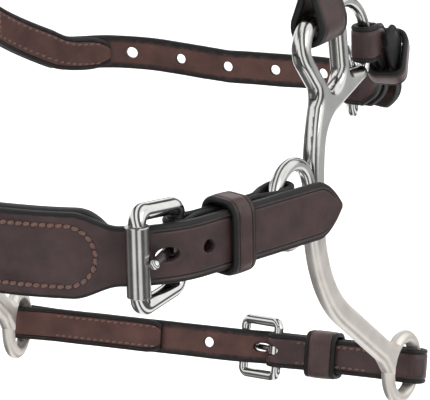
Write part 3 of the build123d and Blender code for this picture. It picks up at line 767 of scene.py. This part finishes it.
ring_far, ring_near = lever_point(-RING_RADIUS), lever_point(-RING_RADIUS + 5.1)
mid_eye = RING_BAR + 0.75 + LAYER / 2
start_eye = round_eye(
    [(ring_far.x, ring_far.y, mid_eye), (ring_near.x, ring_near.y, mid_eye)],
    v2(side_point(20.5, heel_q)),
    LAYER / 2 + 0.05,
)
end_eye = round_eye([(heel.x, heel.y, 2.5 + LAYER / 2)], v2(side_point(HEEL_S - 7, heel_q)), LAYER / 2 + 0.05)
loop = soften(resample(start_eye + end_eye, 0.7, True), 3, True)
rows = rows_along(loop, plan, UP, CHAPE_HALF - 0.15, LAYER - 0.15, 0.7, 1, True)
chape = strap("left_chape", rows, brown, 9, 1.8, closed=True)
drill(chape, heel + ALONG * 4, BESIDE, 2.6, (ALONG, 2.4), 30, 0.2)
other = mirror_copy(chape, "right_chape")
finish_piece(chape, "noseband", "leather_strap", "left_noseband_chape")
finish_piece(other, "noseband", "leather_strap", "right_noseband_chape")


# ---- keepers ----
def band(name, low, high, half, thick, corner, origin, x_dir, z_dir, long, material, crease_at=1.6):
    """A keeper round a strap: x from low to high and y within half, inside."""
    y_dir = z_dir.cross(x_dir)
    m = thick / 2
    circles = []
    for x in (low - m + corner, high + m - corner):
        for y in (-half - m + corner, half + m - corner):
            circles.append((x, y, corner))
    path = soften(resample(outline(circles, 72), 0.6, True), 2, True)

    def place(p):
        return origin + x_dir * p.x + y_dir * p.y

    def puff(i, a, b):
        return (0.25 * (1 - (2 * a / long) ** 2) if b > 0 else 0.0), 0.0

    w = z_dir
    rows = rows_along(path, place, w, long / 2, thick, 0.9, 1, True)
    return strap(name, rows, material, 7, crease_at, closed=True, relief=puff)


keeper = band(
    "left_keeper_loop",
    heel_q - LAYER - 0.6,
    BILLET_OUT + 0.45,
    BILLET / 2 + 0.6,
    2.2,
    4.2,
    side_point(KEEPER_S + KEEPER_LONG / 2, 0),
    BESIDE,
    ALONG,
    KEEPER_LONG,
    keeper_leather,
    2.0,
)
other = mirror_copy(keeper, "right_keeper_loop")
finish_piece(keeper, "left_noseband_keeper", "leather_keeper", "left_noseband_keeper")
finish_piece(other, "right_noseband_keeper", "leather_keeper", "right_noseband_keeper")

# ======== curb strap ========
curb_bar_at = lever_point(CURB_U + CURB_RADIUS, CURB_V)
lead_heading = radians(80)
lead = Vector((cos(lead_heading), sin(lead_heading), 0))
lead_out = Vector((lead.y, -lead.x, 0))


def side_profile(high):
    """(rearwards, up) points of the curb strap's middle seen from the side."""
    fall = atan2(high - CURB_LOW, SLOPE_TO - SLOPE_FROM)
    t = 14 * tan(fall / 2)
    slope = sqrt((high - CURB_LOW) ** 2 + (SLOPE_TO - SLOPE_FROM) ** 2) - 2 * t
    turn_down = fall * 180 / pi
    steps = [("line", SLOPE_FROM - 40 - t), (14, -turn_down), ("line", slope), (14, turn_down), ("line", 60)]
    return run_path((40, high), 0.0, steps, 0, 0.5)


near_profile = side_profile(CURB_HIGH)
far_profile = side_profile(CURB_HIGH - FAR_RISE * curb_bar_at.x)


def curb_height(p):
    """The curb strap's middle height and its steepness rearwards at a point in plan."""
    lift = FAR_RISE * max(0.0, -p.x)
    profile = near_profile if p.x > 0 else far_profile
    for a, b in zip(profile, profile[1:]):
        if p.y < b.x:
            k = (b.y - a.y) / (b.x - a.x)
            return a.y + k * (p.y - a.x) + lift, k
    return CURB_LOW + lift, 0.0


def curb_rows(path, thick, side, crease=1.0, taper=None):
    rows = []
    n = len(path)
    for i, p in enumerate(path):
        a, b = path[max(0, i - 1)], path[min(n - 1, i + 1)]
        d = (b - a).normalized()
        z, k = curb_height(p)
        out = Vector((d.y, -d.x, 0)) * side
        h = NARROW / 2 * sqrt(1 + k * k) * (taper(i, n) if taper else 1.0)
        rows.append((Vector((p.x, p.y, z)), out, UP, h, thick, crease))
    return rows


lead_at = (curb_bar_at.x, curb_bar_at.y)
curb_eye = CURB_BAR + 0.6 + THIN / 2
layer_off = THIN / 2 + 0.05
near_bar = curb_bar_at - lead * 1.3
merged = curb_bar_at + lead * 9.5
eye_circles = [(curb_bar_at.x, curb_bar_at.y, curb_eye), (near_bar.x, near_bar.y, curb_eye)]
eye_way = round_eye(eye_circles, v2(merged), layer_off)
corner_at = curb_bar_at + lead * 6 - lead_out * CURB_CORNER
turned = Vector((-sin(radians(45)), cos(radians(45)), 0))
turned_out = Vector((turned.y, -turned.x, 0))
curb_heel = corner_at + turned_out * CURB_CORNER + turned * CURB_STRAIGHT

# near chape: outer layer back from the heel bar, round the curb bar, inner layer to the heel bar
chape_steps = [("line", 6), (CURB_CORNER, 55), ("line", CURB_STRAIGHT - 8)]
outer = run_path(lead_at, lead_heading, chape_steps, layer_off)
inner = run_path(lead_at, lead_heading, chape_steps, -layer_off)
outer = [p for p in outer if (p - v2(curb_bar_at)).length > 9.5]
inner = [p for p in inner if (p - v2(curb_bar_at)).length > 9.5]
small_eye = SMALL_EYE + THIN / 2
heel_way = round_eye([(curb_heel.x, curb_heel.y, small_eye)], v2(curb_heel - turned * 8.5), layer_off)
# the eye runs anticlockwise: out along the left side, back along the right
loop = eye_way + outer + heel_way + inner[::-1]
loop = soften(resample(loop, 0.7, True), 3, True)
n_loop = len(loop)
rows = []
for i, p in enumerate(loop):
    d = (loop[(i + 1) % n_loop] - loop[i - 1]).normalized()
    z, k = curb_height(p)
    half = NARROW / 2 * sqrt(1 + k * k)
    rows.append((Vector((p.x, p.y, z)), Vector((d.y, -d.x, 0)), UP, half, THIN, 0.8))
curb_near = strap("curb_near_chape", rows, brown, 6, 1.6, closed=True)
slot_at = Vector((curb_heel.x, curb_heel.y, CURB_LOW)) + turned * 3
drill(curb_near, slot_at, turned_out, SMALL_HOLE, (turned, 2.2), 20, 0.15)
finish_piece(curb_near, "curb", "leather_strap", "curb_chape")

# billet: from the tip behind the left lever round the rear to the far lever, and its turned-back tail
steps = [("line", 2), (CURB_CORNER, 55), ("line", CURB_STRAIGHT), (CURB_BACK - CURB_LINE, 45)]
tip_at = curb_bar_at + lead * 4
billet_way = run_path((tip_at.x, tip_at.y), lead_heading, steps, CURB_LINE)
main = NARROW_THICK / 2
to_corner = [("line", 6), (CURB_CORNER, 55), ("line", CURB_STRAIGHT + CURB_LINE - main)]
far_steps = [*to_corner, (CURB_BACK - main, 45)]
far_out = run_path(lead_at, lead_heading, far_steps, main + 0.05)
far_out = [p for p in far_out if (p - v2(curb_bar_at)).length > 9.5]
tail_steps = [*to_corner, (CURB_BACK - main, 12)]
far_in = run_path(lead_at, lead_heading, tail_steps, -THIN / 2)
far_in = [p for p in far_in if (p - v2(curb_bar_at)).length > 9.5]
way = billet_way + [Vector((-p.x, p.y)) for p in reversed(far_out)]
way += [Vector((-p.x, p.y)) for p in reversed(eye_way)]
way += [Vector((-p.x, p.y)) for p in far_in]
way = resample(way, 0.8)
way = soften(way, 2)


def curb_taper(i, n):
    if i < 9:
        return 0.16 + 0.84 * sin(pi / 2 * i / 9) ** 0.85
    if i > n - 14:
        return 0.3 + 0.7 * sqrt(max(0.0, 1 - ((i - n + 14) / 14) ** 2))
    return 1.0


def curb_tip_shade(i, a, b):
    """The tip is darkened like the edges: painted shade."""
    # painted shade: the billet's first rows, its tip, darken towards the edge colour
    return 0.0, 0.75 * smooth((24 - i) / 6)


rows = curb_rows(way, NARROW_THICK - 0.1, 1, 0.9, curb_taper)
curb_main = strap("curb_billet_strap", rows, red_brown, 6, 1.6, relief=curb_tip_shade)
for k in (-2, -1, 0, 1, 2):
    x = -k * SMALL_PITCH
    at = Vector((x, CURB_REAR, CURB_LOW + FAR_RISE * max(0, -x)))
    drill(curb_main, at, Vector((0, 1, 0)), SMALL_HOLE, thick=NARROW_THICK)
hole_a = radians(45 + 10.5)
hole_n = Vector((cos(hole_a), sin(hole_a), 0))
back_at = curb_heel + turned_out * (CURB_LINE - CURB_BACK)
drill(
    curb_main,
    Vector((back_at.x, back_at.y, CURB_LOW)) + hole_n * CURB_BACK,
    hole_n,
    SMALL_SLOT,
    (Vector((-hole_n.y, hole_n.x, 0)), 1.9),
    6,
    thick=NARROW_THICK,
)
finish_piece(curb_main, "curb", "leather_strap", "curb_billet")

# far tail's stitches, on the side that faces the camera
spots = []
tail_line = run_path(lead_at, lead_heading, tail_steps, -THIN - 0.02, 0.1)
tail_line = [p for p in tail_line if (p - v2(curb_bar_at)).length > 13]
for edge_side in (-1, 1):
    pts = resample(tail_line, 2.5)
    for i in range(1, len(pts) - 2):
        p = pts[i]
        d = (pts[i + 1] - pts[i - 1]).normalized()
        z, k = curb_height(Vector((-p.x, p.y)))
        off = 3.7 * edge_side
        spots.append(
            (
                Vector((-p.x, p.y, z + off * sqrt(1 + k * k))),
                Vector((d.y, d.x, 0)),
                Vector((-d.x, d.y, k * d.y)),
            )
        )
first = spots[0][0], spots[len(spots) // 2][0]
for t in (0.15, 0.38, 0.62, 0.85):
    p = first[0].lerp(first[1], t)
    spots.append((p, spots[0][1], UP))
stitches("curb_far_stitches", spots, copper_thread, "curb", 1.7, 0.36, 8)

# keeper
station = radians(19 - 10)
k_out = Vector((cos(station), sin(station), 0))
fall = (CURB_HIGH - CURB_LOW) / (SLOPE_TO - SLOPE_FROM) * cos(station)
k_at = corner_at + k_out * CURB_CORNER
k_height = CURB_HIGH - (k_at.y - SLOPE_FROM) / (SLOPE_TO - SLOPE_FROM) * (CURB_HIGH - CURB_LOW)
k_along = Vector((-sin(station), cos(station), -fall)).normalized()
curb_keeper = band(
    "curb_keeper_loop",
    -3.0,
    6.9,
    NARROW / 2 + 1.0,
    1.8,
    3.2,
    Vector((k_at.x, k_at.y, k_height)),
    k_out,
    k_along,
    9.0,
    keeper_leather,
    1.5,
)
finish_piece(curb_keeper, "curb_keeper", "leather_keeper", "curb_keeper")

# ======== lower strap ========
rein = lever_point(REIN_U, REIN_V)
origin = Vector((0, rein.y, rein.z))
L_X = Vector((1, 0, 0))
L_Z = Vector((0, sin(LOWER_TILT), cos(LOWER_TILT)))
L_Y = L_Z.cross(L_X)


def lower_place(p):
    return origin + L_X * p.x + L_Y * p.y


bar_p = lever_point(REIN_U + REIN_RADIUS * cos(LOWER_TILT), REIN_V - REIN_RADIUS * sin(LOWER_TILT))
rear_x = bar_p.x
rear_y = (bar_p - origin).dot(L_Y)
lower_mid = rear_y - 1.2
rein_eye = REIN_BAR + 0.4 + THIN / 2
merge_x = rear_x - 13
eye_circles = [(rear_x, rear_y, rein_eye), (rear_x, rear_y - 2.5, rein_eye)]
ring_way = round_eye(eye_circles, Vector((merge_x, lower_mid)), layer_off)
heel_way = round_eye([(LOWER_HEEL, lower_mid, small_eye)], Vector((LOWER_HEEL + 8.5, lower_mid)), layer_off)
loop = soften(resample(ring_way + heel_way, 0.7, True), 3, True)
rows = rows_along(loop, lower_place, L_Z, NARROW / 2, THIN, 0.8, 1, True)
lower_near = strap("lower_near_chape", rows, brown, 6, 1.6, closed=True)
drill(lower_near, lower_place(Vector((LOWER_HEEL - 3, lower_mid))), L_Y, SMALL_HOLE, (L_X, 2.2), 20, 0.15)
finish_piece(lower_near, "lower", "leather_strap", "lower_chape")

step_radius = (CURB_LINE - main) / 2 / (1 - cos(radians(22)))
near_way = run_path(
    (LOWER_TIP, lower_mid + CURB_LINE),
    pi,
    [("line", LOWER_TIP - LOWER_HEEL), (step_radius, 22), (step_radius, -22)],
)
way = near_way + [Vector((-merge_x, lower_mid + main + 0.05))]
way += [Vector((-p.x, p.y)) for p in reversed(ring_way)]
way += [Vector((-merge_x, lower_mid - THIN / 2)), Vector((LOWER_TAIL, lower_mid - THIN / 2))]
way = soften(resample(way, 0.8), 2)


def lower_taper(i, n):
    if i < 9:
        return 0.16 + 0.84 * sin(pi / 2 * i / 9) ** 0.85
    if i > n - 9:
        return 0.45 + 0.55 * sqrt(max(0.0, 1 - ((i - n + 9) / 9) ** 2))
    return 1.0


rows = rows_along(way, lower_place, L_Z, 1.0, NARROW_THICK - 0.1, 0.9, 1)
rows = [(c, n, w, NARROW / 2 * lower_taper(i, len(rows)), t, k) for i, (c, n, w, h, t, k) in enumerate(rows)]
lower_main = strap("lower_billet_strap", rows, red_brown, 6, 1.6)
drill(lower_main, lower_place(Vector((-2, lower_mid + main))), L_Y, SMALL_HOLE, thick=NARROW_THICK)
a = radians(14.8)
hole_p = Vector((LOWER_HEEL - step_radius * sin(a), lower_mid + CURB_LINE - step_radius * (1 - cos(a))))
hole_n = (L_Y * cos(a) - L_X * sin(a)).normalized()
drill(lower_main, lower_place(hole_p), hole_n, SMALL_SLOT, (hole_n.cross(L_Z), 1.9), 6, thick=NARROW_THICK)
finish_piece(lower_main, "lower", "leather_strap", "lower_billet")

spots = []
for side in (-1, 1):
    for x0, x1 in ((-64.0, LOWER_TAIL - 3), (LOWER_HEEL + 9.0, 61.0)):
        n_st = round((x1 - x0) / 2.6)
        for i in range(n_st + 1):
            x = x0 + (x1 - x0) * i / n_st
            spots.append((lower_place(Vector((x, lower_mid - THIN - 0.12))) + L_Z * 3.7 * side, -L_Y, L_X))
stitches("lower_stitches", spots, copper_thread, "lower", 1.7, 0.36, 8)

lower_keeper = band(
    "lower_keeper_loop",
    lower_mid - THIN - 0.5,
    lower_mid + CURB_LINE + main + 0.45,
    NARROW / 2 + 0.5,
    1.8,
    3.0,
    lower_place(Vector((44, 0))),
    L_Y,
    L_X,
    12.0,
    keeper_leather,
    1.6,
)
finish_piece(lower_keeper, "lower_keeper", "leather_keeper", "lower_keeper")

# ======== cheekpieces ========
cheek_at = lever_point(LOOP_U)


def cheek_place(p):
    return cheek_at + OUT * p.x + UP * p.y


wall = 3.9 + CHEEK_LAYER / 2
cheek_off = CHEEK_LAYER / 2 + 0.05
low_eye = round_eye([(0, LOOP_V, wall), (0, LOOP_V - 1.2, wall)], Vector((0, LOOP_V + 12)), cheek_off)
top_eye = round_eye([(0, CHEEK_HEEL, SMALL_EYE + CHEEK_LAYER / 2)], Vector((0, CHEEK_HEEL - 8)), cheek_off)
loop = soften(resample(low_eye + top_eye, 0.7, True), 3, True)
rows = rows_along(loop, cheek_place, -REAR, CHEEK_HALF, CHEEK_LAYER, 0.9, 1, True)
cheek = strap("left_cheek_strap", rows, brown, 9, 1.9, closed=True)
drill(cheek, lever_point(LOOP_U, CHEEK_HEEL + 3), OUT, 1.9, (UP, 2.6), 20, 0.15)
other = mirror_copy(cheek, "right_cheek_strap")
finish_piece(cheek, "left_cheek", "leather_strap", "left_cheekpiece")
finish_piece(other, "right_cheek", "leather_strap", "right_cheekpiece")
cheek_keeper = band(
    "left_cheek_keeper_loop",
    -CHEEK_LAYER - 0.4,
    CHEEK_LAYER + 3.4,
    CHEEK_HALF + 0.6,
    1.8,
    3.0,
    lever_point(LOOP_U, CHEEK_HEEL - 17 + 4),
    OUT,
    UP,
    8.0,
    keeper_leather,
    1.5,
)
other = mirror_copy(cheek_keeper, "right_cheek_keeper_loop")
finish_piece(cheek_keeper, "left_cheek_keeper", "leather_keeper", "left_cheek_keeper")
finish_piece(other, "right_cheek_keeper", "leather_keeper", "right_cheek_keeper")
for hand, m in (("left", lambda p: p), ("right", flip)):
    spots = []
    for side in (-1, 1):
        for i in range(9):
            v = LOOP_V + 14.5 + i * 2.6
            spots.append((m(cheek_at + OUT * (CHEEK_LAYER + 0.1) + REAR * 5.6 * side + UP * v), m(OUT), UP))
    stitches(f"{hand}_cheek_stitches", spots, copper_thread, f"{hand}_cheek", 1.9, 0.4, 10)

# ======== floor, light and camera ========
floor_mat, fn, fl, fb = new_material("floor_paper")
coord = fn.new("ShaderNodeTexCoord").outputs["Object"]
paper = noise_tex(fn, fl, coord, 6, 2)
tint = ramp(fn, [(0.3, (0.93, 0.93, 0.93)), (0.7, (0.95, 0.95, 0.95))])
fl.new(paper.outputs["Fac"], tint.inputs["Fac"])
fl.new(tint.outputs["Color"], fb.inputs["Base Color"])
fb.inputs["Roughness"].default_value = 0.9
FLOOR_DROP, FLOOR_HALF = 0.08, 6
floor_z = cad_box[0][2] - FLOOR_DROP
mesh = bpy.data.meshes.new("floor")
corners = [(x * FLOOR_HALF, y * FLOOR_HALF, floor_z) for x, y in ((-1, -1), (1, -1), (1, 1), (-1, 1))]
mesh.from_pydata(corners, [], [(0, 1, 2, 3)])
mesh.materials.append(floor_mat)
floor = bpy.data.objects.new("floor", mesh)
bpy.context.scene.collection.objects.link(floor)
floor.visible_glossy = False

world = bpy.data.worlds.new("studio")
bpy.context.scene.world = world
world.use_nodes = True
wn, wl = world.node_tree.nodes, world.node_tree.links
way = wn.new("ShaderNodeTexCoord").outputs["Generated"]
bands = wn.new("ShaderNodeVectorMath")
bands.operation = "DOT_PRODUCT"
bands.inputs[1].default_value = (7.5, 2.0, 5.0)
wl.new(way, bands.inputs[0])
wave = wn.new("ShaderNodeMath")
wave.operation = "SINE"
wl.new(bands.outputs["Value"], wave.inputs[0])
shade = wn.new("ShaderNodeMapRange")
shade.interpolation_type = "SMOOTHSTEP"
shade.inputs["From Min"].default_value = -0.8
shade.inputs["From Max"].default_value = 0.6
shade.inputs["To Min"].default_value = 0.12
shade.inputs["To Max"].default_value = 1.35
wl.new(wave.outputs[0], shade.inputs["Value"])
wl.new(shade.outputs["Result"], wn["Background"].inputs["Color"])
wn["Background"].inputs["Strength"].default_value = 1.0


def area(name, at, to, size, power, mirrored):
    lamp = bpy.data.lights.new(name, "AREA")
    lamp.shape = "RECTANGLE"
    lamp.size, lamp.size_y = size
    lamp.energy = power
    obj = bpy.data.objects.new(name, lamp)
    obj.location = at
    obj.rotation_euler = (Vector(to) - Vector(at)).to_track_quat("-Z", "Y").to_euler()
    obj.visible_glossy = mirrored
    bpy.context.scene.collection.objects.link(obj)


area("key", (-0.6, -1.1, 1.1), (0, -0.02, 0), (1.3, 1.3), 11, False)
area("side", (1.4, -0.5, 0.6), (0.03, 0, 0), (0.6, 1.2), 4, True)
area("top", (0.0, 0.3, 1.6), (0, 0.1, 0), (2.0, 2.0), 34, False)

camera = bpy.data.cameras.new("camera")
camera.lens, camera.sensor_width = 212.4, 36.0
camera.clip_start, camera.clip_end = 0.05, 20
eye = Vector((0.3370, -0.7533, 0.2396))
turn, tilt, roll = radians(21.57), radians(16.53), radians(-1.17)
look = Vector((-sin(turn) * cos(tilt), cos(turn) * cos(tilt), -sin(tilt)))
level = Vector((cos(turn), sin(turn), 0))
right = level * cos(roll) + level.cross(look) * sin(roll)
top = right.cross(look)
cam = bpy.data.objects.new("camera", camera)
cam.matrix_world = Matrix.Translation(eye) @ Matrix((right, top, -look)).transposed().to_4x4()
bpy.context.scene.collection.objects.link(cam)
bpy.context.scene.camera = cam

bpy.context.scene.view_settings.view_transform = "Standard"
